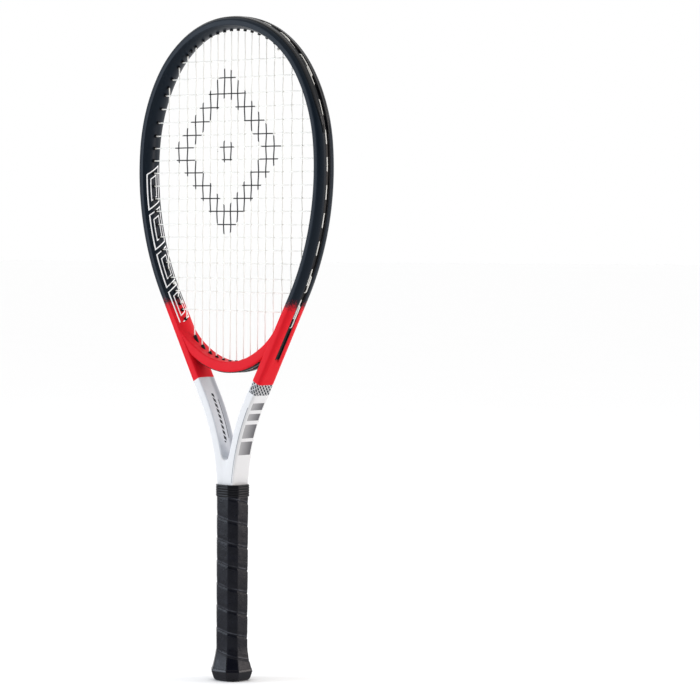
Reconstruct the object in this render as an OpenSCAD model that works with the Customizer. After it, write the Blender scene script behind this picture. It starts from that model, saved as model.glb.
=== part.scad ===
/* [Outline] */
// Length from the butt to the crown of the bumper guard
overall_len = 685.8; // [684:0.2:688]
// Radius of the hoop's centreline at the crown
crown_r = 117; // [115:1:119]
// Radius of the hoop's centreline at the shoulders
shoulder_r = 162; // [160:1:164]
// Radius of the hoop's centreline along the flanks
flank_r = 266.6; // [264:0.2:269]
// Angle between each throat arm and the long axis
arm_angle = 29; // [28.5:0.1:29.5]
// Radius of the bend where an arm turns into the shaft
throat_r = 225; // [220:1:230]

/* [Tube] */
// Depth of the beam, front face to back face
beam_depth = 24.4; // [23.6:0.2:25]
// Wall of the hollow tube
tube_wall = 1.3; // [1.2:0.1:1.5]
// Width of the shaft below the throat
shaft_w = 21.2; // [20.8:0.2:21.6]

/* [Strings] */
// String diameter
string_d = 1.3; // [1.2:0.05:1.35]
// Distance that a crossing string stands off the main strings' plane
weave = 1.42; // [1.38:0.02:1.5]

/* [Handle] */
// Half width of the wrapped grip across the side facets
grip_hw = 15.2; // [15:0.1:15.6]
// Half depth of the wrapped grip across the front and back facets
grip_ht = 14.5; // [14.3:0.1:14.8]
// Thickness of the grip wrap
wrap_t = 1.7; // [1.5:0.1:1.7]

/* [Hidden] */
$fn = 48;
ARC_FN = 200;
// Neighbouring runs of a tube overlap by this much and differ by a hair, so that they join cleanly
LAP = 0.5;
HAIR = 0.05;

// ---- Outline of the tube's centreline, right half; angles are from +Z towards +X ----
function dir(a) = [sin(a), cos(a)];
bumper_out = 6.6;
a_crown = 56.5;
a_shoulder = 84.5;
a_flank = 90 + arm_angle;
shaft_x = 5.1;
crown_c = [0, overall_len - bumper_out - crown_r];
shoulder_c = crown_c + (crown_r - shoulder_r) * dir(a_crown);
flank_c = shoulder_c + (shoulder_r - flank_r) * dir(a_shoulder);
flank_end = flank_c + flank_r * dir(a_flank);
arm_len = (flank_end[0] - shaft_x - throat_r * (1 - cos(arm_angle))) / sin(arm_angle);
arm_end = flank_end - arm_len * [sin(arm_angle), cos(arm_angle)];
throat_c = arm_end + throat_r * dir(a_flank);

// A place q on the outline is the normal's angle, and past the flank it runs on down the arm
MM_PER_Q = 5;
function q_angle(q) = min(q, a_flank);
function outline_pt(q, u) =
    q <= a_crown ? crown_c + (crown_r + u) * dir(q)
    : q <= a_shoulder ? shoulder_c + (shoulder_r + u) * dir(q)
    : q <= a_flank ? flank_c + (flank_r + u) * dir(q)
    : flank_end + u * dir(a_flank)
        - (q - a_flank) * MM_PER_Q * [sin(arm_angle), cos(arm_angle)];

// ---- Tube sections: u is outward from the centreline, y is across the beam ----
half_d = beam_depth / 2;
edge = 0.5;
lip_y = 3.2;
groove_floor = 3.6;
// mid_in and mid_out are at the string plane, face_in to face_out is the flat front
function half_section(mid_in, face_in, face_out, mid_out, depth, out_y) = concat(
    [for (k = [0:4]) [-face_in - (mid_in - face_in) * (1 - pow(k / 4, 2)), (depth - edge) * k / 4]],
    [[-face_in + edge * 1.4, depth]],
    [for (k = [0:5]) [face_out + (mid_out - face_out) * sin(18 * k),
        out_y + (depth - out_y) * cos(18 * k)]]
);
function mirrored(half) = concat(half, [for (k = [len(half) - 1:-1:0]) [half[k][0], -half[k][1]]]);
function without_first(p) = [for (k = [0:len(p) - 2]) p[k]];
function closed_section(half) = without_first(mirrored(half));
function hoop_half(d) = half_section(6.6 - d, 3.2 - d, 1.2 - d, 5.8 - d, half_d - d, lip_y);
function arm_half(d) = half_section(5.4 - d, 5.35 - d, 3.1 - d, shaft_w / 2 - shaft_x - d,
    half_d - 0.4 - d, 7.5);
function hoop_bore(d) = half_section(6.6 - tube_wall - d, 2.2 - d, 0.6 - d, 2.3 - d,
    half_d - tube_wall - 0.1 - d, 4);
function arm_bore(d) = half_section(5.4 - tube_wall - d, 4.05 - d, 2.2 - d,
    shaft_w / 2 - shaft_x - tube_wall - d, half_d - tube_wall - 0.5 - d, 6.5);
function shifted(p, r) = [for (v = p) [v[0] + r, v[1]]];
function flipped(p, r) = [for (v = p) [r - v[0], v[1]]];

// Turns a profile, drawn at its radius, about the beam axis through c
module arc_run(c, a0, a1) {
    translate([c[0], 0, c[1]])
        rotate([90, 0, 0])
            rotate([0, 0, 90 - a1])
                rotate_extrude(angle = a1 - a0, $fn = ARC_FN)
                    children();
}

module arc_section(c, r, a0, a1, half) {
    arc_run(c, a0, a1) polygon(shifted(closed_section(half), r));
}

// Stands a child on the outline at q: its +Z points outward and its origin is at offset u
module on_outline(q, u, side) {
    p = outline_pt(q, u);
    translate([side * p[0], 0, p[1]])
        rotate([0, side * q_angle(q), 0])
            children();
}

// Straight arm between two sections, each d smaller than its neighbours
module arm_run(top_half, end_half) {
    translate([arm_end[0], 0, arm_end[1]])
        rotate([0, arm_angle, 0])
            hull() {
                translate([0, 0, -LAP])
                    linear_extrude(0.02) polygon(closed_section(end_half));
                translate([0, 0, arm_len + LAP - 0.02])
                    linear_extrude(0.02) polygon(closed_section(top_half));
            }
}

module throat_run(half) {
    arc_run(throat_c, 272, 180 + a_flank)
        polygon(flipped(closed_section(half), throat_r));
}

module both_sides() {
    children();
    mirror([1, 0, 0]) children();
}

// ---- String pattern, right half ----
tip_u = -8.6;
mains = [4.8, 14.5, 24.3, 34.3, 45, 56, 68, 80.5, 95.2];
crosses = [640.5, 623, 606.5, 592.5, 578.2, 564.4, 551.5, 538.5, 525.3, 511.8, 498.5, 485.2, 471.5,
    458.3, 445, 431.5, 415.8, 402, 382.6];
N_MAIN = len(mains);
N_CROSS = len(crosses);
N_BRIDGE = 6;
function arm_q(drop) = a_flank + drop / cos(arm_angle) / MM_PER_Q;
tip_end = outline_pt(a_flank, tip_u);
// Place of the hole whose inner mouth is at height z
function q_at_z(z) =
    z >= outline_pt(a_crown, tip_u)[1] ? acos((z - crown_c[1]) / (crown_r + tip_u))
    : z >= outline_pt(a_shoulder, tip_u)[1] ? acos((z - shoulder_c[1]) / (shoulder_r + tip_u))
    : z >= tip_end[1] ? acos((z - flank_c[1]) / (flank_r + tip_u))
    : arm_q(tip_end[1] - z);
// Place of the upper and of the lower hole whose inner mouth is at distance x from the axis
function q_top(x) = x <= outline_pt(a_crown, tip_u)[0]
    ? asin(x / (crown_r + tip_u))
    : asin((x - shoulder_c[0]) / (shoulder_r + tip_u));
function q_low(x) = x >= tip_end[0]
    ? 180 - asin((x - flank_c[0]) / (flank_r + tip_u))
    : arm_q((tip_end[0] - x) / tan(arm_angle));

main_top_q = [for (x = mains) q_top(x)];
main_low_q = [for (x = mains) q_low(x)];
cross_q = [for (z = crosses) q_at_z(z)];
tie_main_q = q_at_z(409);
tie_start_q = 35;
tie_end_q = q_at_z(389.3);
top_qs = concat(main_top_q, [for (q = cross_q) if (q < 81) q], [tie_start_q]);
side_qs = concat([for (q = cross_q) if (q > 81) q], [tie_main_q, tie_end_q],
    [for (k = [N_BRIDGE:N_MAIN - 1]) main_low_q[k]]);

// ---- Throat bridge: arcs about a centre on the axis, angles from straight down ----
bridge_low = 330;
arm_in = outline_pt(a_flank, -6.6);
bridge_r = (arm_in * dir(a_flank) - bridge_low * cos(a_flank)) / (1 + cos(a_flank));
bridge_c = [0, bridge_low + bridge_r];
bridge_t = 10.7;
bridge_out = bridge_r + bridge_t;
bridge_span = 56;
bridge_tip = bridge_r - 2;
bridge_strand = bridge_out - 0.6;
fan = 0.82;
function bridge_pt(a, r) = bridge_c + r * [sin(a), -cos(a)];
function mouth_pt(k) = bridge_pt(asin(mains[k] / bridge_tip), bridge_tip);
function exit_a(k) = asin(fan * mains[k] / bridge_out);
function exit_pt(k) = bridge_pt(exit_a(k), bridge_out - 1.4);
function hole_len(k) = norm(exit_pt(k) - mouth_pt(k));
function hole_turn(k) = atan2(exit_pt(k)[0] - mouth_pt(k)[0], exit_pt(k)[1] - mouth_pt(k)[1]);

module in_bridge_hole(k, side) {
    p = mouth_pt(k);
    translate([side * p[0], 0, p[1]])
        rotate([0, side * hole_turn(k), 0])
            children();
}

// ---- Frame ----
module tube_solid(grow) {
    arc_section(crown_c, crown_r, -a_crown, a_crown, hoop_half(-grow));
    both_sides() {
        arc_section(shoulder_c, shoulder_r, a_crown - 0.2, a_shoulder + 0.2, hoop_half(HAIR - grow));
        arc_section(flank_c, flank_r, a_shoulder, a_flank, hoop_half(-grow));
        arm_run(hoop_half(HAIR - grow), arm_half(HAIR - grow));
        throat_run(arm_half(-grow));
    }
}

module tube_bore() {
    arc_section(crown_c, crown_r, -a_crown, a_crown, hoop_bore(0));
    both_sides() {
        arc_section(shoulder_c, shoulder_r, a_crown - 0.2, a_shoulder + 0.2, hoop_bore(HAIR));
        arc_section(flank_c, flank_r, a_shoulder, a_flank, hoop_bore(0));
        arm_run(hoop_bore(HAIR), arm_bore(HAIR));
        throat_run(arm_bore(0));
        translate([1.1, -tang_bore_ht, tang_z + 22])
            cube([tang_hw - tube_wall - 1.1, 2 * tang_bore_ht, 192.5 - tang_z - 22]);
    }
    translate([-tang_hw + tube_wall, -tang_bore_ht, tang_z - 1])
        cube([2 * (tang_hw - tube_wall), 2 * tang_bore_ht, 24]);
}

// The floor is a shallow V, 0.04 deep
module groove_band(r0, r1, w) {
    polygon([[r0, -w], [r0 - 0.04, 0], [r0, w], [r1, w], [r1, -w]]);
}

groove_end = (flank_end[1] - 334) / cos(arm_angle);
module string_groove() {
    arc_run(crown_c, -a_crown, a_crown) groove_band(crown_r + groove_floor, crown_r + 9, lip_y);
    both_sides() {
        arc_run(shoulder_c, a_crown - 0.2, a_shoulder + 0.2)
            groove_band(shoulder_r + groove_floor + HAIR, shoulder_r + 9, lip_y - HAIR);
        arc_run(flank_c, a_shoulder, a_flank)
            groove_band(flank_r + groove_floor, flank_r + 9, lip_y);
        translate([flank_end[0], 0, flank_end[1]])
            rotate([0, arm_angle, 0])
                translate([groove_floor - HAIR, HAIR - lip_y, -groove_end])
                    cube([6, 2 * (lip_y - HAIR), groove_end + LAP]);
    }
}

web_top = 234;
web_w = 12;
crotch_r = 5.3;
module throat_web() {
    difference() {
        translate([-web_w / 2, -half_d + 1, 194])
            cube([web_w, beam_depth - 2, web_top - 194]);
        translate([0, 0, web_top]) rotate([90, 0, 0]) cylinder(r = crotch_r, h = 40, center = true);
    }
}

tang_hw = 9.3;
tang_ht = 8.8;
tang_z = 5;
tang_top = 193;
tang_bore_ht = tang_ht - tube_wall;
function chamfered(hw, ht, c) = [
    [hw, -ht + c], [hw, ht - c], [hw - c, ht], [-hw + c, ht],
    [-hw, ht - c], [-hw, -ht + c], [-hw + c, -ht], [hw - c, -ht]
];

hole_r = 2;
barrel_r = 1.85;
module hole(z, len) {
    rotate([0, 0, 17]) translate([0, 0, z]) cylinder(r = hole_r, h = len, $fn = 24);
}
module frame_tube() {
    color([0.16, 0.19, 0.23])
        difference() {
            union() {
                tube_solid(0);
                throat_web();
                translate([0, 0, tang_z])
                    linear_extrude(tang_top - tang_z) polygon(chamfered(tang_hw, tang_ht, 1.5));
            }
            tube_bore();
            string_groove();
            for (side = [-1, 1], q = concat(top_qs, side_qs))
                on_outline(q, tip_u, side) hole(1, 15);
        }
}

module throat_bridge() {
    color([0.86, 0.09, 0.15])
        difference() {
            arc_run(bridge_c, 180 - bridge_span, 180 + bridge_span)
                polygon(shifted(closed_section([
                    [0, 0], [0, 9.4], [1.3, 10.7], [bridge_t - 1.3, 10.7], [bridge_t, 9.4],
                    [bridge_t, 0]
                ]), bridge_r));
            both_sides() arm_run(hoop_half(-HAIR), arm_half(-HAIR));
            arc_run(bridge_c, 179 - bridge_span, 181 + bridge_span)
                groove_band(bridge_out - 2.1, bridge_out + 3, lip_y);
            for (side = [-1, 1], k = [0:N_BRIDGE - 1])
                in_bridge_hole(k, side) hole(1, hole_len(k) + 5);
        }
}

// ---- Guards and grommets ----
floor_top = 4.4;
function rim_pt(a, off) = let (n = unit([(half_d - lip_y) * sin(a), 4.6 * cos(a)]))
    [1.2 + 4.6 * sin(a) + off * n[0], lip_y + (half_d - lip_y) * cos(a) + off * n[1]];
function unit(v) = v / norm(v);
function bumper_half(d) = [
    [groove_floor + HAIR + d, 0], [groove_floor + HAIR + d, lip_y - 0.15], [5.92, lip_y - 0.15],
    rim_pt(72, 0.12), rim_pt(54, 0.12), rim_pt(54, 0.55 - d), rim_pt(72, 0.8 - d),
    [bumper_out - d, lip_y], [bumper_out - d, 2.4], [floor_top - d, 2.2], [floor_top - d, 0]
];
function strip_half(d) = [
    [groove_floor + 2 * HAIR + d, 0], [groove_floor + 2 * HAIR + d, lip_y - 0.2],
    [5.6 - d, lip_y - 0.2], [5.6 - d, 2.4], [floor_top - d, 2.2], [floor_top - d, 0]
];
function bridge_strip_half() = [
    [-2, 0], [-2, lip_y - 0.15], [0.08, lip_y - 0.15], [0.08, 8.6], [0.85, 8.2], [0.85, 2.6],
    [-1.3, 2.2], [-1.3, 0]
];

module barrel() {
    cylinder(r = barrel_r, h = 12.7, $fn = 24);
}
module barrel_bore() {
    translate([0, 0, -1]) cylinder(r = 0.95, h = 16, $fn = 24);
    translate([0, 0, 12.5]) cylinder(r = 1.75, h = 3, $fn = 24);
}

bumper_a = 81;
module bumper_guard() {
    color([0.07, 0.07, 0.08])
        difference() {
            union() {
                arc_section(crown_c, crown_r, -a_crown, a_crown, bumper_half(0));
                both_sides()
                    arc_section(shoulder_c, shoulder_r, a_crown - 0.2, bumper_a, bumper_half(0.03));
                for (side = [-1, 1], q = top_qs) on_outline(q, tip_u, side) barrel();
            }
            for (side = [-1, 1], q = top_qs) on_outline(q, tip_u, side) barrel_bore();
        }
}

strip_end = (flank_end[1] - 336) / cos(arm_angle);
module grommet_strip(side) {
    color([0.08, 0.08, 0.09])
        difference() {
            union() {
                mirror([side < 0 ? 1 : 0, 0, 0]) {
                    arc_section(shoulder_c, shoulder_r, bumper_a + 0.15, a_shoulder + 0.2,
                        strip_half(0.03));
                    arc_section(flank_c, flank_r, a_shoulder, a_flank, strip_half(0));
                    translate([flank_end[0], 0, flank_end[1]])
                        rotate([0, arm_angle, 0])
                            translate([0, 0, -strip_end])
                                linear_extrude(strip_end + LAP)
                                    polygon(closed_section(strip_half(0.03)));
                }
                for (q = side_qs) on_outline(q, tip_u, side) barrel();
            }
            for (q = side_qs) on_outline(q, tip_u, side) barrel_bore();
        }
}
module grommet_strip_left() {
    grommet_strip(-1);
}
module grommet_strip_right() {
    grommet_strip(1);
}

bridge_strip_a = 30;
module bridge_grommets() {
    color([0.08, 0.08, 0.09])
        difference() {
            union() {
                arc_section(bridge_c, bridge_out, 180 - bridge_strip_a, 180 + bridge_strip_a,
                    bridge_strip_half());
                for (side = [-1, 1], k = [0:N_BRIDGE - 1])
                    in_bridge_hole(k, side)
                        cylinder(r = barrel_r, h = hole_len(k) - 0.3, $fn = 24);
            }
            for (side = [-1, 1], k = [0:N_BRIDGE - 1])
                in_bridge_hole(k, side) {
                    translate([0, 0, -1]) cylinder(r = 0.95, h = hole_len(k) + 4, $fn = 24);
                    translate([0, 0, hole_len(k) - 0.4]) cylinder(r = 1.75, h = 4, $fn = 24);
                }
        }
}

// ---- Strings: each is one length, swept along its route ----
SIDES = 6;
string_r = string_d / 2;
strand_y = 1.2;
strand_u = 5.15;
bore_end_u = 3.9;
function spot(q, u, y, side) = let (p = outline_pt(q, u)) [side * p[0], y, p[1]];
function q_step(q, mm) = q < a_crown ? mm / crown_r * 57.3
    : q < a_shoulder ? mm / shoulder_r * 57.3
    : q < a_flank ? mm / flank_r * 57.3 : mm / MM_PER_Q;
// From one hole's inner mouth, along the outside, to the next hole's inner mouth
function outer_loop(qa, qb, y, side) =
    let (s = qb > qa ? 1 : -1, qa1 = qa + s * q_step(qa, 1.3), qb1 = qb - s * q_step(qb, 1.3),
        n = max(1, ceil(abs(qb1 - qa1) / 3)))
    concat(
        [spot(qa, tip_u, 0, side), spot(qa, bore_end_u, 0, side)],
        [for (k = [0:n]) spot(qa1 + (qb1 - qa1) * k / n, strand_u, y, side)],
        [spot(qb, bore_end_u, 0, side), spot(qb, tip_u, 0, side)]
    );
// Over the crown from the first main string to its mirror twin
crown_loop = let (q = main_top_q[0], q1 = q - q_step(0, 1.3)) [
    spot(q, tip_u, 0, 1), spot(q, bore_end_u, 0, 1), spot(q1, strand_u, strand_y, 1),
    spot(q1, strand_u, strand_y, -1), spot(q, bore_end_u, 0, -1), spot(q, tip_u, 0, -1)
];
function bridge_spot(a, r, y, side) = let (p = bridge_pt(a, r)) [side * p[0], y, p[1]];
function flat_spot(p, side) = [side * p[0], 0, p[1]];
function bridge_loop(k, side) = let (a = exit_a(k), b = exit_a(k - 1)) [
    flat_spot(mouth_pt(k), side), flat_spot(exit_pt(k), side),
    bridge_spot(a - 0.9, bridge_strand, strand_y, side),
    bridge_spot((a + b) / 2, bridge_strand, strand_y, side),
    bridge_spot(b + 0.9, bridge_strand, strand_y, side),
    flat_spot(exit_pt(k - 1), side), flat_spot(mouth_pt(k - 1), side)
];
function backwards(p) = [for (k = [len(p) - 1:-1:0]) p[k]];
knot_gap = 0.4;
function knot_spot(q, side) = spot(q, tip_u - knot_gap, 0, side);

// Half of the main string, from its tie-off at the flank to the crown
function main_half(side) = concat(
    [knot_spot(tie_main_q, side)],
    outer_loop(tie_main_q, main_low_q[8], strand_y, side),
    outer_loop(main_top_q[8], main_top_q[7], strand_y, side),
    outer_loop(main_low_q[7], main_low_q[6], strand_y, side),
    outer_loop(main_top_q[6], main_top_q[5], strand_y, side),
    bridge_loop(5, side),
    outer_loop(main_top_q[4], main_top_q[3], strand_y, side),
    bridge_loop(3, side),
    outer_loop(main_top_q[2], main_top_q[1], strand_y, side),
    bridge_loop(1, side)
);
main_route = concat(main_half(1), crown_loop, backwards(main_half(-1)));

// One cross string's run from the side it starts on, over and under the main strings
function met_mains(j) = [for (k = [0:N_MAIN - 1])
    if (mains[k] < outline_pt(cross_q[j], tip_u)[0] - 1
        && crosses[j] > (k < N_BRIDGE ? 0 : outline_pt(main_low_q[k], tip_u)[1])
        && crosses[j] < outline_pt(main_top_q[k], tip_u)[1]) k];
function weave_run(j, from) = let (m = met_mains(j), n = len(m)) [
    for (i = [0:2 * n - 1])
        let (k = i < n ? m[n - 1 - i] : m[i - n], s = i < n ? from : -from)
            [s * mains[k], weave * ((k + j + (s > 0 ? 0 : 1)) % 2 == 0 ? 1 : -1), crosses[j]]
];
function cross_start(j) = j % 2 == 0 ? 1 : -1;
cross_route = concat(
    [knot_spot(tie_start_q, 1)],
    outer_loop(tie_start_q, cross_q[0], -strand_y, 1),
    [for (j = [0:N_CROSS - 1]) each concat(
        weave_run(j, cross_start(j)),
        outer_loop(cross_q[j], j < N_CROSS - 1 ? cross_q[j + 1] : tie_end_q, -strand_y,
            -cross_start(j))
    )],
    [knot_spot(tie_end_q, -1)]
);

function tangent(p, k) = unit(
    (k > 0 ? unit(p[k] - p[k - 1]) : [0, 0, 0])
    + (k < len(p) - 1 ? unit(p[k + 1] - p[k]) : [0, 0, 0]));
function ring(p, k, r) = let (t = tangent(p, k), a = unit(cross(t, [0, 1, 0])), b = cross(a, t))
    [for (i = [0:SIDES - 1]) p[k] + r * (cos(i * 360 / SIDES) * a + sin(i * 360 / SIDES) * b)];
module swept(p, r) {
    n = len(p);
    polyhedron(
        points = [for (k = [0:n - 1]) each ring(p, k, r)],
        faces = concat(
            [[for (i = [0:SIDES - 1]) i]],
            [for (k = [0:n - 2], i = [0:SIDES - 1]) let (j = (i + 1) % SIDES)
                [k * SIDES + j, k * SIDES + i, (k + 1) * SIDES + i, (k + 1) * SIDES + j]],
            [[for (i = [SIDES - 1:-1:0]) (n - 1) * SIDES + i]]
        )
    );
}
module main_string() {
    color([0.93, 0.93, 0.9]) swept(main_route, string_r);
}
module cross_string() {
    color([0.93, 0.93, 0.9]) swept(cross_route, string_r);
}
knot_r = 1.7;
module knot(q, side) {
    on_outline(q, tip_u - knot_gap - knot_r, side) sphere(r = knot_r, $fn = 24);
}
module string_knots() {
    color([0.93, 0.93, 0.9]) {
        knot(tie_main_q, 1);
        knot(tie_main_q, -1);
        knot(tie_start_q, 1);
        knot(tie_end_q, -1);
    }
}

// ---- Handle ----
front_flat = 0.516;
side_flat = 0.54;
function octagon(hw, ht) = [
    [hw, -side_flat * ht], [hw, side_flat * ht], [front_flat * hw, ht], [-front_flat * hw, ht],
    [-hw, side_flat * ht], [-hw, -side_flat * ht], [-front_flat * hw, -ht], [front_flat * hw, -ht]
];
module prism(hw, ht, z0, z1) {
    translate([0, 0, z0]) linear_extrude(z1 - z0) polygon(octagon(hw, ht));
}

core_hw = grip_hw - wrap_t;
core_ht = grip_ht - wrap_t;
cap_top = 30;
cap_wall = 1.2;
plate_t = 3;
shell_z = plate_t + 0.2;
shell_top = 191.5;
fit_gap = 0.1;
module handle_shell(side) {
    color([0.75, 0.72, 0.62])
        difference() {
            union() {
                prism(core_hw - cap_wall - fit_gap, core_ht - cap_wall - fit_gap, shell_z, cap_top);
                prism(core_hw, core_ht, cap_top + 0.2, shell_top);
                prism(core_hw - 2, core_ht - 2, cap_top - 1, cap_top + 1);
            }
            translate([0, 0, -1])
                linear_extrude(shell_top + 2)
                    polygon(chamfered(tang_hw + fit_gap, tang_ht + fit_gap, 1.5));
            translate([-20, side > 0 ? -40 + fit_gap / 2 : -fit_gap / 2, -1]) cube([40, 40, 200]);
        }
}
module handle_front() {
    handle_shell(-1);
}
module handle_rear() {
    handle_shell(1);
}

plug_z = 30;
plug_len = 40;
module handle_plugs() {
    color([0.55, 0.53, 0.5])
        for (side = [-1, 1])
            translate([side * (1.2 + 3.3), 0, plug_z + plug_len / 2])
                cube([6.6, 2 * tang_bore_ht - 0.4, plug_len], center = true);
}

// Heel of the butt: how far it stands out at each height, as a multiple of the grip's size
heel = [[0, 1.08], [2.7, 1.2], [9.2, 1.325], [12, 1.28]];
heel_top = 12;
flare_top = 28;
module heel_slice(z, hw, ht) {
    translate([0, 0, z]) linear_extrude(0.02) polygon(octagon(hw, ht));
}

door_hw = 8;
door_ht = 5.5;
staple_z = 20;
module staple_recess() {
    translate([14.85, -5.2, staple_z - 0.8]) cube([6, 10.4, 1.6]);
}
flare_hw = grip_hw * 1.28 - wrap_t - 0.1;
flare_ht = grip_ht * 1.28 - wrap_t - 0.1;
module butt_cap() {
    color([0.1, 0.1, 0.11])
        difference() {
            union() {
                hull() for (h = heel)
                    heel_slice(max(0, h[0] - 0.02), h[1] * grip_hw, h[1] * grip_ht);
                hull() {
                    heel_slice(heel_top - 0.5, flare_hw + 0.13, flare_ht + 0.13);
                    heel_slice(flare_top - 0.02, core_hw - HAIR, core_ht - HAIR);
                }
                prism(core_hw - HAIR, core_ht - HAIR, flare_top - 1, cap_top);
            }
            prism(core_hw - cap_wall, core_ht - cap_wall, plate_t, cap_top + 1);
            translate([-door_hw - 0.2, -door_ht - 0.2, -1])
                cube([2 * door_hw + 0.4, 2 * door_ht + 0.4, plate_t + 2]);
            both_sides() staple_recess();
        }
}

module cap_staples() {
    color([0.6, 0.6, 0.62])
        both_sides() {
            translate([14.95, -5, staple_z - 0.4]) cube([0.6, 10, 0.8]);
            for (y = [-5, 4.2])
                translate([10.6, y, staple_z - 0.4]) cube([4.4, 0.8, 0.8]);
        }
}

door_z = 0.4;
door_t = 1.6;
module trap_door() {
    color([0.13, 0.13, 0.14])
        difference() {
            union() {
                translate([-door_hw, -door_ht, door_z]) cube([2 * door_hw, 2 * door_ht, door_t]);
                both_sides()
                    translate([6, -2.5, door_z + door_t - 0.1]) cube([1.2, 5, 6.6]);
            }
            translate([0, -door_ht - 4.2, door_z]) cylinder(r = 5, h = 2, center = true);
        }
}

wrap_top = 198.5;
tuck_z = 190.5;
tuck = 0.3;
tape_t = 0.25;
module grip_wrap() {
    color([0.11, 0.11, 0.12])
        difference() {
            union() {
                prism(grip_hw, grip_ht, flare_top - 0.5, tuck_z);
                prism(grip_hw - tuck, grip_ht - tuck, tuck_z - 1, wrap_top);
                hull() {
                    heel_slice(heel_top + 0.05, 1.27 * grip_hw, 1.27 * grip_ht);
                    heel_slice(flare_top, grip_hw - HAIR, grip_ht - HAIR);
                }
            }
            prism(core_hw + HAIR, core_ht + HAIR, flare_top - 1, wrap_top + 1);
            // The shaft's corners stand nearer the wrap than the handle's facets do
            translate([0, 0, shell_top])
                linear_extrude(10) polygon(chamfered(shaft_w / 2 + 0.75, half_d - 0.15, 1.8));
            hull() {
                heel_slice(heel_top - 0.5, flare_hw + 0.35, flare_ht + 0.35);
                heel_slice(flare_top - 0.02, core_hw + 0.02, core_ht + 0.02);
            }
        }
}

module finishing_tape() {
    color([0.05, 0.05, 0.06])
        difference() {
            prism(grip_hw - tuck + tape_t, grip_ht - tuck + tape_t, tuck_z + 1, wrap_top - 0.4);
            prism(grip_hw - tuck + 0.01, grip_ht - tuck + 0.01, tuck_z, wrap_top);
        }
}

collar_z = 190.6;
collar_top = 203;
collar_out = 1;
module collar() {
    color([0.06, 0.06, 0.07])
        difference() {
            union() {
                prism(grip_hw + collar_out - 0.35, grip_ht + collar_out - 0.35, collar_z, collar_top);
                for (k = [0:4])
                    prism(grip_hw + collar_out, grip_ht + collar_out, collar_z + k * 2.6,
                        collar_z + k * 2.6 + 1.7);
            }
            prism(grip_hw + 0.12, grip_ht + 0.12, collar_z - 1, wrap_top + 0.3);
            translate([0, 0, wrap_top])
                linear_extrude(10) polygon(chamfered(12.9, 12.4, 2));
        }
}

frame_tube();
throat_bridge();
bumper_guard();
grommet_strip_left();
grommet_strip_right();
bridge_grommets();
main_string();
cross_string();
string_knots();
handle_front();
handle_rear();
handle_plugs();
butt_cap();
cap_staples();
trap_door();
grip_wrap();
finishing_tape();
collar();
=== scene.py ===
import math

import bmesh
import bpy
import numpy as np
from mathutils import Matrix, Vector


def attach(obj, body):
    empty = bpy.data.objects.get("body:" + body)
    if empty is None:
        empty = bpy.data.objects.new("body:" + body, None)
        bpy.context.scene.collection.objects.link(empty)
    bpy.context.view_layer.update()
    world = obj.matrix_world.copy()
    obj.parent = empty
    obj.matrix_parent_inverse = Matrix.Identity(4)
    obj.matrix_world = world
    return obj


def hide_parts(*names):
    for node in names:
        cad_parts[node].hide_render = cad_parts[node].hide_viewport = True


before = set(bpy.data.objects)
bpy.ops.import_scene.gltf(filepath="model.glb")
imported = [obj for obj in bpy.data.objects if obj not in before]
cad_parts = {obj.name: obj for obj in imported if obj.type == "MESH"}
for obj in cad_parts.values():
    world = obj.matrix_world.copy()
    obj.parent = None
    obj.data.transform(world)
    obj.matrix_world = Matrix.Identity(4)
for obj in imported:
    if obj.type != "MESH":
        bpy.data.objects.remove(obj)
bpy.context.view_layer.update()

# Lengths are in millimetres until a mesh is made
MM = 0.001

# ---- Outline of the tube's centreline: angles are from +Z towards +X ----
HEIGHT = 685.8
CROWN_R, SHOULDER_R, FLANK_R, THROAT_R = 117.0, 162.0, 266.6, 225.0
A_CROWN, A_SHOULDER, A_FLANK = 56.5, 84.5, 119.0
# The arm's lean from upright
ARM_TILT = A_FLANK - 90
SHAFT_X = 5.1
# The stations' spacing, and the heights of those inside the handle
STATION_STEP = 1.5
LEG_Z = (150, 165, 180)
# From the centreline to the guard's crest, and to the hoop's inner face
GUARD_CREST, HOOP_IN = 6.6, 6.6
# The length of arm that one unit of q covers
MM_PER_Q = 5.0


def unit(v):
    v = np.asarray(v, float)
    return v / np.linalg.norm(v)


def direction(degrees):
    a = math.radians(degrees)
    return np.array([math.sin(a), math.cos(a)])


def sine(degrees):
    return math.sin(math.radians(degrees))


def cosine(degrees):
    return math.cos(math.radians(degrees))


CROWN_C = np.array([0.0, HEIGHT - GUARD_CREST - CROWN_R])
SHOULDER_C = CROWN_C + (CROWN_R - SHOULDER_R) * direction(A_CROWN)
FLANK_C = SHOULDER_C + (SHOULDER_R - FLANK_R) * direction(A_SHOULDER)
FLANK_END = FLANK_C + FLANK_R * direction(A_FLANK)
ARM_DOWN = -np.array([sine(ARM_TILT), cosine(ARM_TILT)])
ARM_LEN = (FLANK_END[0] - SHAFT_X - THROAT_R * (1 - cosine(ARM_TILT))) / sine(ARM_TILT)
ARM_END = FLANK_END + ARM_LEN * ARM_DOWN
THROAT_C = ARM_END + THROAT_R * direction(A_FLANK)


def outline(q, u=0.0):
    """The point at place q, offset u outward.

    q is the normal's angle, and past the flank it runs on down the arm.
    """
    if q <= A_CROWN:
        return CROWN_C + (CROWN_R + u) * direction(q)
    if q <= A_SHOULDER:
        return SHOULDER_C + (SHOULDER_R + u) * direction(q)
    if q <= A_FLANK:
        return FLANK_C + (FLANK_R + u) * direction(q)
    return FLANK_END + u * direction(A_FLANK) + (q - A_FLANK) * MM_PER_Q * ARM_DOWN


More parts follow.
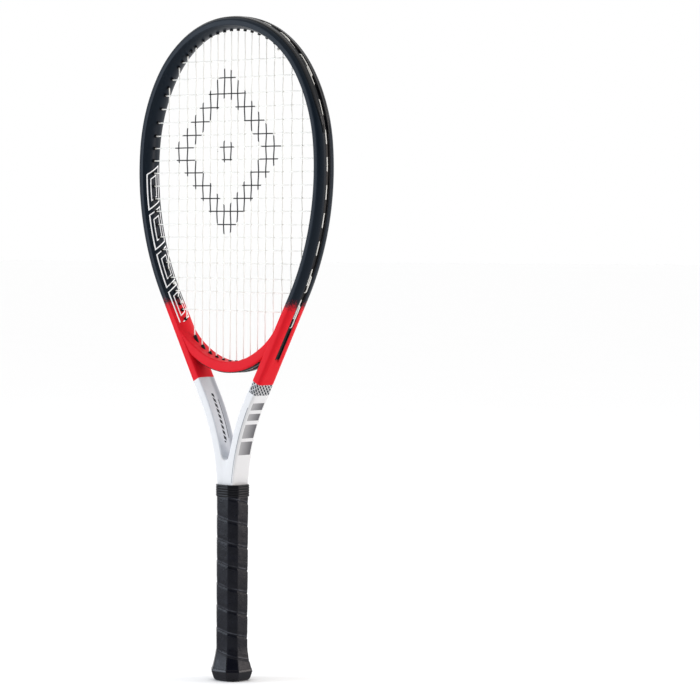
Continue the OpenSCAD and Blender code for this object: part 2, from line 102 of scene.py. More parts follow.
def stations():
    """(point, normal, share of hoop section) up the right half, from handle to crown."""
    out = [((SHAFT_X, z), (1, 0), 0.0) for z in LEG_Z]
    count = int(THROAT_R * math.radians(ARM_TILT) / STATION_STEP)
    for a in np.linspace(270, 270 + ARM_TILT, count):
        out.append((THROAT_C + THROAT_R * direction(a), -direction(a), 0.0))
    for s in np.linspace(0, 1, int(ARM_LEN / STATION_STEP))[1:-1]:
        out.append((ARM_END - s * ARM_LEN * ARM_DOWN, direction(A_FLANK), s))
    for a0, a1, c, r in (
        (A_FLANK, A_SHOULDER, FLANK_C, FLANK_R),
        (A_SHOULDER, A_CROWN, SHOULDER_C, SHOULDER_R),
        (A_CROWN, 0, CROWN_C, CROWN_R),
    ):
        for a in np.linspace(a0, a1, int(r * math.radians(a0 - a1) / STATION_STEP))[:-1]:
            out.append((c + r * direction(a), direction(a), 1.0))
    return out


def hairpin():
    """The stations of the whole outline, right leg to left leg, with the length run so far."""
    right = stations()
    left = [((-p[0], p[1]), (-n[0], n[1]), w) for p, n, w in reversed(right)]
    whole = right + [(CROWN_C + CROWN_R * direction(0), direction(0), 1.0)] + left
    points = np.array([p for p, _, _ in whole])
    run = np.concatenate([[0], np.cumsum(np.linalg.norm(np.diff(points, axis=0), axis=1))])
    return [(np.array(p, float), np.array(n, float), w, s) for (p, n, w), s in zip(whole, run)]


# ---- Meshes ----
SHARP_ANGLE = math.radians(50)


def mesh_object(name, verts, faces, material, nodes=(), body="racket", uvs=()):
    """A piece from millimetres, its normals turned outward.

    uvs is a list of (layer name, one pair for each vertex).
    """
    mesh = bpy.data.meshes.new(name)
    mesh.from_pydata([tuple(float(c) * MM for c in v) for v in verts], [], faces)
    mesh.update()
    index = np.empty(len(mesh.loops), int)
    mesh.loops.foreach_get("vertex_index", index)
    for layer_name, pairs in uvs:
        layer = mesh.uv_layers.new(name=layer_name)
        loops = np.array(pairs, float)[index] * MM
        layer.data.foreach_set("uv", loops.astype(np.float32).ravel())
    mesh.shade_smooth()
    mesh.set_sharp_from_angle(angle=SHARP_ANGLE)
    obj = bpy.data.objects.new(name, mesh)
    bpy.context.scene.collection.objects.link(obj)
    mesh.materials.append(material)
    if nodes:
        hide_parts(*nodes)
    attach(obj, body)
    bm = bmesh.new()
    bm.from_mesh(mesh)
    bmesh.ops.recalc_face_normals(bm, faces=bm.faces)
    bm.to_mesh(mesh)
    bm.free()


def loft(rings, closed_ends=True):
    """Vertices and faces of a skin over rings of equal length."""
    cols = len(rings[0])
    verts = [v for ring in rings for v in ring]
    faces = []
    for a in range(0, (len(rings) - 1) * cols, cols):
        for j in range(cols):
            k = (j + 1) % cols
            faces.append((a + j, a + k, a + cols + k, a + cols + j))
    if closed_ends:
        faces.append(tuple(range(cols - 1, -1, -1)))
        faces.append(tuple((len(rings) - 1) * cols + j for j in range(cols)))
    return verts, faces


def merge(parts):
    verts, faces = [], []
    for v, f in parts:
        faces += [tuple(i + len(verts) for i in face) for face in f]
        verts += list(v)
    return verts, faces


def circle(count):
    """Angles evenly round a circle, in radians."""
    return [2 * math.pi * i / count for i in range(count)]


def tube(path, radius, sides):
    """A round tube along a path of 3-D points, closed at both ends."""
    p = np.array(path, float)
    steps = np.diff(p, axis=0)
    steps /= np.linalg.norm(steps, axis=1)[:, None]
    tangents = np.vstack([steps[:1], steps[:-1] + steps[1:], steps[-1:]])
    tangents /= np.linalg.norm(tangents, axis=1)[:, None]
    side = np.cross(tangents, [0.0, 1.0, 0.0])
    side /= np.linalg.norm(side, axis=1)[:, None]
    up = np.cross(side, tangents)
    return loft([
        [p[k] + radius * (math.cos(a) * side[k] + math.sin(a) * up[k]) for a in circle(sides)]
        for k in range(len(p))
    ])


def swept(sections):
    """A skin over (point, normal, profile, run) sections; the profile is (u, y) pairs.

    The layer trace holds (run, y) and the layer offset holds (u, 0).
    """
    rings, trace, offset = [], [], []
    for (px, pz), (nx, nz), profile, run in sections:
        rings.append([(px + u * nx, y, pz + u * nz) for u, y in profile])
        trace += [(run, y) for _, y in profile]
        offset += [(u, 0) for u, _ in profile]
    verts, faces = loft(rings)
    return verts, faces, [("trace", trace), ("offset", offset)]


def mirrored(half):
    """A closed profile from its y >= 0 half, first and last points on y = 0."""
    return half + [(u, -y) for u, y in reversed(half[1:-1])]


# ---- Tube ----
# The string groove: half width, the floor's offset, and how far down the arm it ends and fades
GROOVE_Y = 3.2
GROOVE_FLOOR = 3.6
GROOVE_END, GROOVE_FADE = 73.0, 4
# The height below which the corners sharpen towards the shaft, and over how much
SQUARE_TOP, SQUARE_FADE = 250, 40
FACE_STEPS, SLOPE_STEPS = 14, 12


def smooth_step(x):
    x = min(1.0, max(0.0, x))
    return x * x * (3 - 2 * x)


def tube_profile(w, groove, square):
    """The tube's section.

    w is the share of the hoop's section over the arm's, groove is 1 where the string groove is
    cut, and square is 1 where the shaft's corners are crisp.
    """

    def mix(hoop, arm):
        return w * hoop + (1 - w) * arm

    mid_in, face_in, face_out = mix(6.6, 5.4), mix(3.2, 5.35), mix(1.2, 3.1)
    mid_out, depth, out_y = mix(5.8, 5.5), mix(12.2, 11.8), mix(3.4, 7.5)
    edge = mix(0.5, 1.6)
    face_out += 1.2 * square
    out_y += 2.5 * square
    half = []
    # The hollow inner face, its rounded edge, then the outer slope
    for k in range(FACE_STEPS + 1):
        u = -face_in - (mid_in - face_in) * (1 - (k / FACE_STEPS) ** 2)
        half.append((u, (depth - edge) * k / FACE_STEPS))
    for a in range(18, 91, 18):
        half.append((-face_in + edge * 1.2 * (1 - cosine(a)), depth - edge + edge * sine(a)))
    for k in range(SLOPE_STEPS + 1):
        a = 90 / SLOPE_STEPS * k
        u = face_out + (mid_out - face_out) * sine(a)
        half.append((u, out_y + (depth - out_y) * cosine(a)))
    floor = mid_out + (GROOVE_FLOOR - mid_out) * groove
    half += [(mid_out - 0.1 * groove, GROOVE_Y + 0.06), (mid_out - 0.4 * groove, GROOVE_Y)]
    half += [(floor + 0.2 * groove, GROOVE_Y - 0.02), (floor, GROOVE_Y - 0.2), (floor, 0)]
    return mirrored(half)


def make_frame(lacquer):
    sections = []
    for point, normal, w, run in hairpin():
        drop = np.linalg.norm(FLANK_END - np.abs(point)) if point[1] < FLANK_END[1] else 0
        groove = 1 - smooth_step((drop - GROOVE_END + GROOVE_FADE / 2) / GROOVE_FADE)
        square = smooth_step((SQUARE_TOP - point[1]) / SQUARE_FADE)
        sections.append((point, normal, tube_profile(w, groove, square), run))
    verts, faces, uvs = swept(sections)
    mesh_object("frame", verts, faces, lacquer, ["frame_tube"], uvs=uvs)


WEB_FOOT, WEB_TOP, WEB_HALF, CROTCH_R = 190, 234.0, 6.3, 5.3
# Nearer the middle than this, the web takes the inner faces' paint
WEB_FACE_Y = 11
# Places across the beam, and how far the saddle's edge is rounded there
WEB_RINGS = [(-11.78, 1.5), (-11.7, 1.1), (-11.3, 0.5), (-10.6, 0.1), (-10, 0)]
WEB_RINGS += [(10, 0), (10.6, 0.1), (11.3, 0.5), (11.7, 1.1), (11.78, 1.5)]


def make_web(lacquer):
    """The fillet in the bottom of the V, with its rounded saddle."""
    rings = []
    for y, grow in WEB_RINGS:
        top = [
            (CROTCH_R * sine(a), WEB_TOP - CROTCH_R * cosine(a) - grow)
            for a in range(-90, 91, 6)
        ]
        ring = [(-WEB_HALF, WEB_FOOT), (-WEB_HALF, WEB_TOP - grow)] + top
        ring += [(WEB_HALF, WEB_TOP - grow), (WEB_HALF, WEB_FOOT)]
        rings.append([(x, y, z) for x, z in ring])
    verts, faces = loft(rings)
    trace = [(0, y) for _, y, _ in verts]
    offset = [(-5 if abs(y) < WEB_FACE_Y else 0, 0) for _, y, _ in verts]
    uvs = [("trace", trace), ("offset", offset)]
    mesh_object("throat_saddle", verts, faces, lacquer, uvs=uvs)


# ---- Throat bridge ----
BRIDGE_T = 10.7
ARM_IN = outline(A_FLANK, -HOOP_IN)
BRIDGE_LOW = 330.0
BRIDGE_R = (ARM_IN @ direction(A_FLANK) - BRIDGE_LOW * cosine(A_FLANK)) / (1 + cosine(A_FLANK))
BRIDGE_C = np.array([0.0, BRIDGE_LOW + BRIDGE_R])
BRIDGE_OUT = BRIDGE_R + BRIDGE_T
# Half angles of the bridge and of its grommet strip, and the step along both
BRIDGE_A, BRIDGE_STRIP_A, BRIDGE_STEP = 60.5, 30, 1.0
# How far the bridge's outer holes fan out, against the inner ones
FAN = 0.82


def bridge_point(a, r):
    return BRIDGE_C + r * np.array([sine(a), -cosine(a)])


def bridge_arc(profile_at, half_angle):
    """A sweep round the bridge; profile_at gives the section at each angle from its middle."""
    sections = []
    for a in np.arange(-half_angle, half_angle + BRIDGE_STEP / 2, BRIDGE_STEP):
        normal = np.array([sine(a), -cosine(a)])
        run = math.radians(a) * BRIDGE_OUT
        sections.append((BRIDGE_C, normal, mirrored(profile_at(a)), run))
    return swept(sections)


def bridge_profile(a):
    """The bridge's half section; its ends take the arms' hollow inner face and full depth."""
    r = BRIDGE_R
    blend = smooth_step((abs(a) - 30) / 30)
    depth = 10.7 + 1.25 * blend
    half = [(r + 3.4 * blend * (y / depth) ** 2, y) for y in np.linspace(0, depth - 1.6, 8)]
    r_edge = half[-1][0]
    for t in range(15, 91, 15):
        half.append((r_edge + 1.8 - 1.8 * cosine(t), depth - 1.6 + 1.6 * sine(t)))
    for t in range(0, 91, 15):
        half.append((BRIDGE_OUT - 2.0 + 1.9 * sine(t), depth - 2.0 + 2.0 * cosine(t)))
    # The strip's seat under the bridge
    seat = [(0, 8), (0, 3.3), (0.2, 3.2), (2.0, 3.2), (2.1, 3.0), (2.1, 0)]
    return half + [(BRIDGE_OUT - deep, y) for deep, y in seat]


def make_bridge(lacquer):
    verts, faces, uvs = bridge_arc(bridge_profile, BRIDGE_A)
    mesh_object("bridge", verts, faces, lacquer, ["throat_bridge"], uvs=uvs)


# ---- String pattern ----
# Offset of the grommets' inner tips, and of the cords' knotted ends
TIP_U, TIE_U = -8.6, -9.0
MAINS = [4.8, 14.5, 24.3, 34.3, 45, 56, 68, 80.5, 95.2]
CROSSES = [640.5, 623, 606.5, 592.5, 578.2, 564.4, 551.5, 538.5, 525.3, 511.8]
CROSSES += [498.5, 485.2, 471.5, 458.3, 445, 431.5, 415.8, 402, 382.6]
N_BRIDGE = 6


def arc_cos(x):
    return math.degrees(math.acos(x))


def arc_sin(x):
    return math.degrees(math.asin(x))


def arm_q(drop):
    """The place on the arm that lies drop below the flank's end."""
    return A_FLANK + drop / cosine(ARM_TILT) / MM_PER_Q


TIP_END = outline(A_FLANK, TIP_U)


def q_at_z(z):
    if z >= outline(A_CROWN, TIP_U)[1]:
        return arc_cos((z - CROWN_C[1]) / (CROWN_R + TIP_U))
    if z >= outline(A_SHOULDER, TIP_U)[1]:
        return arc_cos((z - SHOULDER_C[1]) / (SHOULDER_R + TIP_U))
    if z >= TIP_END[1]:
        return arc_cos((z - FLANK_C[1]) / (FLANK_R + TIP_U))
    return arm_q(TIP_END[1] - z)


def q_top(x):
    if x <= outline(A_CROWN, TIP_U)[0]:
        return arc_sin(x / (CROWN_R + TIP_U))
    return arc_sin((x - SHOULDER_C[0]) / (SHOULDER_R + TIP_U))


def q_low(x):
    if x >= TIP_END[0]:
        return 180 - arc_sin((x - FLANK_C[0]) / (FLANK_R + TIP_U))
    return arm_q((TIP_END[0] - x) / math.tan(math.radians(ARM_TILT)))


TOP_Q = [q_top(x) for x in MAINS]
LOW_Q = [q_low(x) for x in MAINS]
CROSS_Q = [q_at_z(z) for z in CROSSES]
TIE_MAIN_Q, TIE_START_Q, TIE_END_Q = q_at_z(409), 35.0, q_at_z(389.3)
GUARD_A = 81.0
TOP_QS = TOP_Q + [q for q in CROSS_Q if q < GUARD_A] + [TIE_START_Q]
SIDE_QS = [q for q in CROSS_Q if q > GUARD_A] + [TIE_MAIN_Q, TIE_END_Q] + LOW_Q[N_BRIDGE:]


def spot(q, u, y, side):
    """The 3-D point at place q and offset u, on the side that side's sign gives."""
    p = outline(q, u)
    return (side * p[0], y, p[1])


def sided(p, side):
    return np.array([side * p[0], p[1]])


def mouth(k):
    return bridge_point(arc_sin(MAINS[k] / (BRIDGE_R - 2)), BRIDGE_R - 2)


def exit_angle(k):
    return arc_sin(FAN * MAINS[k] / BRIDGE_OUT)


def bridge_exit(k):
    return bridge_point(exit_angle(k), BRIDGE_OUT - 1.4)


# ---- Grommets ----
BARREL_LEN, BARREL_SIDES = 12.4, 20
# The hoop's outer slope is a quarter ellipse in (u, y): its centre and its radii
SLOPE_U, SLOPE_Y, SLOPE_RU, SLOPE_RY = 1.2, 3.2, 4.6, 9.0
# The guard thins out over its last degrees; its flange runs between angles round the slope
GUARD_STEP, GUARD_THIN = 0.3, 12
FLANGE_TOP, FLANGE_REACH, FLANGE_DRAW = 78, 54, 22
RIB_DEPTH, RIB_PITCH = 0.12, 3.2
STRIP_END_Z, STRIP_STEP = 336, 0.5
STRIP_LIP = [(5.5, 3.0), (5.62, 2.8), (5.55, 2.45), (5.3, 2.35)]
BRIDGE_STRIP = [(-2, 0), (-2, 3.0), (0.08, 3.05), (0.08, 8.5), (0.4, 8.55), (0.8, 8.2)]
BRIDGE_STRIP += [(0.85, 3.0), (0.7, 2.6), (-1.3, 2.2), (-1.3, 0)]


def barrel(origin, outward, length):
    """A grommet barrel: origin is its inner tip, and its mouth has a rounded rim."""
    along = np.array([outward[0], 0, outward[1]])
    across = np.array([0.0, 1.0, 0.0])
    third = np.cross(along, across)
    start = np.array([origin[0], 0, origin[1]])
    # (radius, distance from the tip), from the bore's far end round the rim to the outside
    shape = [(0.95, length - 0.2), (0.95, 0.5), (1.1, 0.12), (1.35, 0.0), (1.62, 0.1)]
    shape += [(1.75, 0.45), (1.85, 2.2), (1.85, length - 0.3), (1.75, length)]
    rings = []
    for r, w in shape:
        middle = start + w * along
        spokes = [math.cos(a) * across + math.sin(a) * third for a in circle(BARREL_SIDES)]
        rings.append([middle + r * spoke for spoke in spokes])
    return loft(rings, closed_ends=False)


def outline_barrels(qs, side):
    parts = []
    for q in qs:
        n = sided(direction(min(q, A_FLANK)), side)
        parts.append(barrel(spot(q, TIP_U, 0, side)[::2], n, BARREL_LEN))
    return parts


def rim(a, off):
    """A point on the hoop's outer slope, off from its surface."""
    n = unit((SLOPE_RY * sine(a), SLOPE_RU * cosine(a)))
    u = SLOPE_U + SLOPE_RU * sine(a) + off * n[0]
    return (u, SLOPE_Y + SLOPE_RY * cosine(a) + off * n[1])


def channel(lip):
    """The half section of the strip that lies in the groove, with lip as its outer edge."""
    low = [(GROOVE_FLOOR + 0.06, 0), (GROOVE_FLOOR + 0.06, 3.0)]
    inner = [(4.4, 2.15), (4.4, 0)]
    return low + lip + inner


def guard_profile(q, run):
    """The guard's section at place q.

    Its flanges wrap the slopes with fine ribs, and thin out to the groove's lips at both ends.
    """
    fade = smooth_step((GUARD_A - abs(q)) / GUARD_THIN)
    rib = RIB_DEPTH * (0.5 + 0.5 * math.cos(2 * math.pi * run / RIB_PITCH)) * fade
    reach = FLANGE_REACH + FLANGE_DRAW * (1 - fade)
    lip = [(5.95, 3.06), rim(76, 0.1), rim(reach, 0.06), rim(reach - 1.5, 0.3)]
    for k in range(6):
        off = 0.42 + 0.3 * math.sin(math.pi * k / 5) - rib
        lip.append(rim(reach + (FLANGE_TOP - reach) * k / 5, off))
    lip += [(6.45, 3.3), (6.55, 3.0), (6.4, 2.6), (6.0, 2.4)]
    return mirrored(channel(lip))


def make_guard(nylon):
    sections = []
    run = 0.0
    for q in np.arange(-GUARD_A, GUARD_A + 0.01, GUARD_STEP):
        side = 1 if q >= 0 else -1
        point, normal = sided(outline(abs(q)), side), sided(direction(abs(q)), side)
        if sections:
            run += np.linalg.norm(point - sections[-1][0])
        sections.append((point, normal, guard_profile(q, run), run))
    verts, faces, _ = swept(sections)
    barrels = outline_barrels(TOP_QS, -1) + outline_barrels(TOP_QS, 1)
    verts, faces = merge([(verts, faces)] + barrels)
    mesh_object("guard", verts, faces, nylon, ["bumper_guard"])


def make_strip(side, nylon):
    node = "grommet_strip_right" if side > 0 else "grommet_strip_left"
    profile = mirrored(channel(STRIP_LIP))
    sections = []
    for q in np.arange(GUARD_A + 0.15, arm_q(FLANK_END[1] - STRIP_END_Z), STRIP_STEP):
        normal = sided(direction(min(q, A_FLANK)), side)
        sections.append((sided(outline(q), side), normal, profile, 0))
    verts, faces, _ = swept(sections)
    verts, faces = merge([(verts, faces)] + outline_barrels(SIDE_QS, side))
    mesh_object(node + "_skin", verts, faces, nylon, [node])


def make_bridge_grommets(nylon):
    half = [(BRIDGE_OUT + u, y) for u, y in BRIDGE_STRIP]
    verts, faces, _ = bridge_arc(lambda a: half, BRIDGE_STRIP_A)
    parts = [(verts, faces)]
    for side in (-1, 1):
        for k in range(N_BRIDGE):
            a, b = mouth(k), bridge_exit(k)
            along = unit(b - a)
            a = a + 0.8 * along
            length = np.linalg.norm(b - a)
            parts.append(barrel(sided(a, side), sided(along, side), length))
    verts, faces = merge(parts)
    mesh_object("bridge_grommet_skin", verts, faces, nylon, ["bridge_grommets"])


# ---- Strings ----
STRING_R, STRING_SIDES = 0.65, 8
STRAND_U, STRAND_Y = 5.15, 1.2
# A cord leaves its hole at BEND_U, and rises and turns into the groove over these lengths
BEND_U, RISE_U = 3.9, 4.8
RISE_RUN, TURN_RUN = 0.4, 1.3
MAIN_LIFT, CROSS_LIFT = 0.38, 0.96


def q_step(q, mm):
    """The step in q that covers mm along the outline."""
    radius = CROWN_R if q < A_CROWN else SHOULDER_R if q < A_SHOULDER else FLANK_R
    return math.degrees(mm / radius) if q < A_FLANK else mm / MM_PER_Q


def outer_loop(qa, qb, y, side):
    """From one hole's inner mouth, along the groove, to the next hole's inner mouth."""
    s = 1 if qb > qa else -1
    qa1, qb1 = qa + s * q_step(qa, TURN_RUN), qb - s * q_step(qb, TURN_RUN)
    n = max(2, math.ceil(abs(qb1 - qa1)))
    loop = [spot(qa, TIP_U, 0, side), spot(qa, BEND_U, 0, side)]
    loop.append(spot(qa + s * q_step(qa, RISE_RUN), RISE_U, y / 2, side))
    loop += [spot(qa1 + (qb1 - qa1) * k / n, STRAND_U, y, side) for k in range(n + 1)]
    loop.append(spot(qb - s * q_step(qb, RISE_RUN), RISE_U, y / 2, side))
    return loop + [spot(qb, BEND_U, 0, side), spot(qb, TIP_U, 0, side)]


def flat(p, side, y=0.0):
    return (side * p[0], y, p[1])


def bridge_loop(k, side):
    a, b = exit_angle(k) - 0.9, exit_angle(k - 1) + 0.9
    r = BRIDGE_OUT - 0.6
    loop = [flat(mouth(k), side), flat(bridge_exit(k), side)]
    loop += [flat(bridge_point(t, r), side, STRAND_Y) for t in np.linspace(a, b, 5)]
    return loop + [flat(bridge_exit(k - 1), side), flat(mouth(k - 1), side)]


def hole_z(k):
    """The heights of main string k's lower and upper holes."""
    low = mouth(k)[1] if k < N_BRIDGE else outline(LOW_Q[k], TIP_U)[1]
    return low, outline(TOP_Q[k], TIP_U)[1]


def crossings(k):
    """The cross strings that main string k meets, from the top down."""
    low, high = hole_z(k)
    return [
        j
        for j, z in enumerate(CROSSES)
        if low < z < high and MAINS[k] < outline(CROSS_Q[j], TIP_U)[0] - 1
    ]


def over(k, j, side):
    """1 where the cross string passes in front of the main string, -1 where behind."""
    return -1 if (k + j + (0 if side > 0 else 1)) % 2 == 0 else 1


def wave(stops, level, vertical):
    """A run that eases between its stops, (place, y), at level on the other axis."""
    out = []
    for (a, ya), (b, yb) in zip(stops, stops[1:]):
        for t in np.linspace(0, 1, 7)[:-1]:
            y = ya + (yb - ya) * (0.5 - 0.5 * math.cos(math.pi * t))
            c = a + (b - a) * t
            out.append((level, y, c) if vertical else (c, y, level))
    return out


def main_run(k, side, upward):
    low, high = hole_z(k)
    stops = [(high, 0.0)]
    stops += [(CROSSES[j], MAIN_LIFT * over(k, j, side)) for j in crossings(k)]
    stops.append((low, 0.0))
    run = wave(stops, side * MAINS[k], True)[1:]
    return run[::-1] if upward else run


def cross_run(j, start):
    """Cross string j, from the side it starts on."""
    met = [k for k in range(len(MAINS)) if j in crossings(k)]
    reach = outline(CROSS_Q[j], TIP_U)[0]
    order = [(start, k) for k in reversed(met)] + [(-start, k) for k in met]
    stops = [(start * reach, 0.0)]
    stops += [(s * MAINS[k], -CROSS_LIFT * over(k, j, s)) for s, k in order]
    stops.append((-start * reach, 0.0))
    return wave(stops, CROSSES[j], False)[1:]


def main_half(side):
    path = [spot(TIE_MAIN_Q, TIE_U, 0, side)]
    path += outer_loop(TIE_MAIN_Q, LOW_Q[8], STRAND_Y, side)
    path += main_run(8, side, True) + outer_loop(TOP_Q[8], TOP_Q[7], STRAND_Y, side)
    path += main_run(7, side, False) + outer_loop(LOW_Q[7], LOW_Q[6], STRAND_Y, side)
    for k in (6, 4, 2):
        path += main_run(k, side, True) + outer_loop(TOP_Q[k], TOP_Q[k - 1], STRAND_Y, side)
        path += main_run(k - 1, side, False) + bridge_loop(k - 1, side)
    return path + main_run(0, side, True)


def main_path():
    q = TOP_Q[0]
    q1 = q - q_step(0, TURN_RUN)
    crown = [spot(q, TIP_U, 0, 1), spot(q, BEND_U, 0, 1)]
    crown += [spot(q1, STRAND_U, STRAND_Y, 1), spot(q1, STRAND_U, STRAND_Y, -1)]
    crown += [spot(q, BEND_U, 0, -1), spot(q, TIP_U, 0, -1)]
    return main_half(1) + crown + main_half(-1)[::-1]


def cross_path():
    path = [spot(TIE_START_Q, TIE_U, 0, 1)]
    path += outer_loop(TIE_START_Q, CROSS_Q[0], -STRAND_Y, 1)
    for j in range(len(CROSSES)):
        start = 1 if j % 2 == 0 else -1
        following = CROSS_Q[j + 1] if j < len(CROSSES) - 1 else TIE_END_Q
        path += cross_run(j, start) + outer_loop(CROSS_Q[j], following, -STRAND_Y, -start)
    return path + [spot(TIE_END_Q, TIE_U, 0, -1)]


def make_strings(material):
    for name, path, node in (
        ("main_cord", main_path(), "main_string"),
        ("cross_cord", cross_path(), "cross_string"),
    ):
        verts, faces = tube(path, STRING_R, STRING_SIDES)
        mesh_object(name, verts, faces, material, [node])


# ---- Handle: octagonal rings, each (z, half width, half depth, corner radius) ----
RING_POINTS, CORNER_POINTS = 160, 7
# The flats' share of the octagon's width in front and behind, and of its depth at the sides
FRONT_FLAT, SIDE_FLAT = 0.516, 0.54
GRIP_HW, GRIP_HT = 15.2, 14.5


def rounded(corners, radius):
    """Points evenly round a convex outline with rounded corners, from its +X side's middle."""
    pts = []
    n = len(corners)
    for i in range(n):
        a, b, c = (np.array(corners[(i + d) % n], float) for d in (-1, 0, 1))
        to_a, to_c = unit(a - b), unit(c - b)
        half = math.acos(max(-1, min(1, to_a @ to_c))) / 2
        shorter = min(np.linalg.norm(a - b), np.linalg.norm(c - b))
        cut = min(radius / math.tan(half), 0.45 * shorter)
        start, end = b + cut * to_a, b + cut * to_c
        for t in np.linspace(0, 1, CORNER_POINTS):
            pts.append((1 - t) ** 2 * start + 2 * t * (1 - t) * b + t * t * end)
    pts = np.array(pts + [pts[0]])
    lengths = np.concatenate([[0], np.cumsum(np.linalg.norm(np.diff(pts, axis=0), axis=1))])
    # Points on the -X side are pushed out of the choice
    angles = np.abs(np.arctan2(pts[:-1, 1], pts[:-1, 0])) + (pts[:-1, 0] < 0) * 10
    along = np.linspace(0, lengths[-1], RING_POINTS, endpoint=False)
    places = (lengths[np.argmin(angles)] + along) % lengths[-1]
    return np.stack([np.interp(places, lengths, pts[:, i]) for i in (0, 1)], axis=1)


def octagon(hw, ht):
    half = [(hw, -SIDE_FLAT * ht), (hw, SIDE_FLAT * ht)]
    half += [(FRONT_FLAT * hw, ht), (-FRONT_FLAT * hw, ht)]
    return half + [(-x, -y) for x, y in half]


def oct_ring(z, hw, ht, radius):
    return [(x, y, z) for x, y in rounded(octagon(hw, ht), radius)]


def rect_ring(z, hw, ht, radius):
    corners = [(hw, -ht), (hw, ht), (-hw, ht), (-hw, -ht)]
    return [(x, y, z) for x, y in rounded(corners, radius)]


def grip_ring(z, scale, radius):
    """A ring of the grip's octagon, scaled."""
    return oct_ring(z, scale * GRIP_HW, scale * GRIP_HT, radius)


# Scales of the cap's bell by height
HEEL_Z, HEEL_SCALE = (0, 2.7, 9.2, 12), (1.08, 1.2, 1.325, 1.28)
# The door's opening in the cap's end, then the sunk ring and the foot round it
DOOR_RINGS = [(3.0, 8.2, 5.7), (0.25, 8.2, 5.7), (0.0, 8.45, 5.95)]
FOOT_RINGS = [(0.0, 12.6, 11.8), (0.35, 13.1, 12.3), (0.35, 14.0, 13.2), (0.0, 14.5, 13.7)]
WRAP_LOW, FLARE_TOP, WRAP_TOP = 12.05, 36.0, 198.5
WRAP_STEP, WRAP_CORNER = 0.45, 3.0
SEAM_PITCH = 23.3
# The length that the trace layer gives one turn
WRAP_ROUND = 95.0
# The wrap is thinner above this height, under the tape
TUCK_Z, TUCK = 189.5, 0.3
# The seam: (depth, place down from it, width) of its channel and of the shoulder below
SEAM, SHOULDER = (0.62, 0.0, 0.85), (0.22, 2.6, 2.0)


def grip_scale(z):
    """How far the wrap flares towards the heel."""
    t = min(1.0, max(0.0, (FLARE_TOP - z) / (FLARE_TOP - WRAP_LOW)))
    return 1 + 0.262 * t ** 1.7


def dip(place, depth, middle, width):
    return depth * math.exp(-(((place - middle) / width) ** 2))


def seam_sink(z, turn):
    """How deep the wrap's surface lies at height z, a share turn of the way round."""
    h = (z / SEAM_PITCH + turn) % 1.0
    near = min(h, 1 - h) * SEAM_PITCH
    sink = dip(near, *SEAM)
    if h < 0.5:
        sink += dip(near, *SHOULDER)
    sink += 0.05 + 0.04 * math.sin(2 * math.pi * h)
    if z < WRAP_LOW + 1 or z > TUCK_Z - 1.5:
        sink = min(sink, 0.25)
    return sink


def make_grip(leather):
    rings, uvs = [], []
    heights = np.arange(WRAP_LOW + 0.2, WRAP_TOP, WRAP_STEP)
    for z in [WRAP_LOW, *heights, WRAP_TOP]:
        s = grip_scale(z)
        tuck = TUCK * smooth_step((z - TUCK_Z) / 1.5)
        ring = rounded(octagon(GRIP_HW * s - tuck, GRIP_HT * s - tuck), WRAP_CORNER)
        normals = np.roll(ring, -1, 0) - np.roll(ring, 1, 0)
        normals = np.stack([normals[:, 1], -normals[:, 0]], 1)
        normals /= np.linalg.norm(normals, axis=1)[:, None]
        verts = []
        for i, ((x, y), (nx, ny)) in enumerate(zip(ring, normals)):
            turn = i / RING_POINTS
            sink = seam_sink(z, turn)
            verts.append((x - sink * nx, y - sink * ny, z))
            uvs.append((turn * WRAP_ROUND, z))
        rings.append(verts)
    # Both ends turn in
    rings.append([(0.86 * x, 0.86 * y, z) for x, y, z in rings[-1]])
    rings.insert(0, [(0.9 * x, 0.9 * y, z) for x, y, z in rings[0]])
    uvs = [(0, WRAP_LOW)] * RING_POINTS + uvs + [(0, WRAP_TOP)] * RING_POINTS
    verts, faces = loft(rings, closed_ends=False)
    mesh_object("leather_wrap", verts, faces, leather, ["grip_wrap"], uvs=[("trace", uvs)])


def make_cap(plastic):
    rings = [rect_ring(*ring, 0.6) for ring in DOOR_RINGS]
    rings += [oct_ring(*ring, 2.4) for ring in FOOT_RINGS]
    rings += [grip_ring(0.0, 1.035, 2.0), grip_ring(0.25, 1.065, 2.0)]
    for z in (0.9, 1.8, 2.7, 4, 6, 8, 9.2, 10.2, 11.2, 11.7):
        rings.append(grip_ring(z, float(np.interp(z, HEEL_Z, HEEL_SCALE)) - 0.005, 2.0))
    # The lip under the wrap, and the neck inside it
    rings += [grip_ring(11.98, 1.262, 2.0), grip_ring(12.0, 1.12, 2.0)]
    rings.append(grip_ring(26, 0.9, 1.0))
    verts, faces = loft(rings, closed_ends=False)
    mesh_object("heel_cap", verts, faces, plastic, ["butt_cap"])


COLLAR_LOW, COLLAR_HIGH = 190.6, 203.0
COLLAR_STEP, COLLAR_CORNER = 0.2, 3.2
RIDGE_PITCH, RIDGE_BASE, RIDGE_RISE = 2.6, 0.42, 0.56
# The lip's rounding, the height of its underside, and the bore through it
LIP_R, LIP_Z, LIP_BORE = 1.2, 199.2, (12.95, 12.45, 2.4)
COLLAR_BORE = (15.35, 14.65, 2.4)


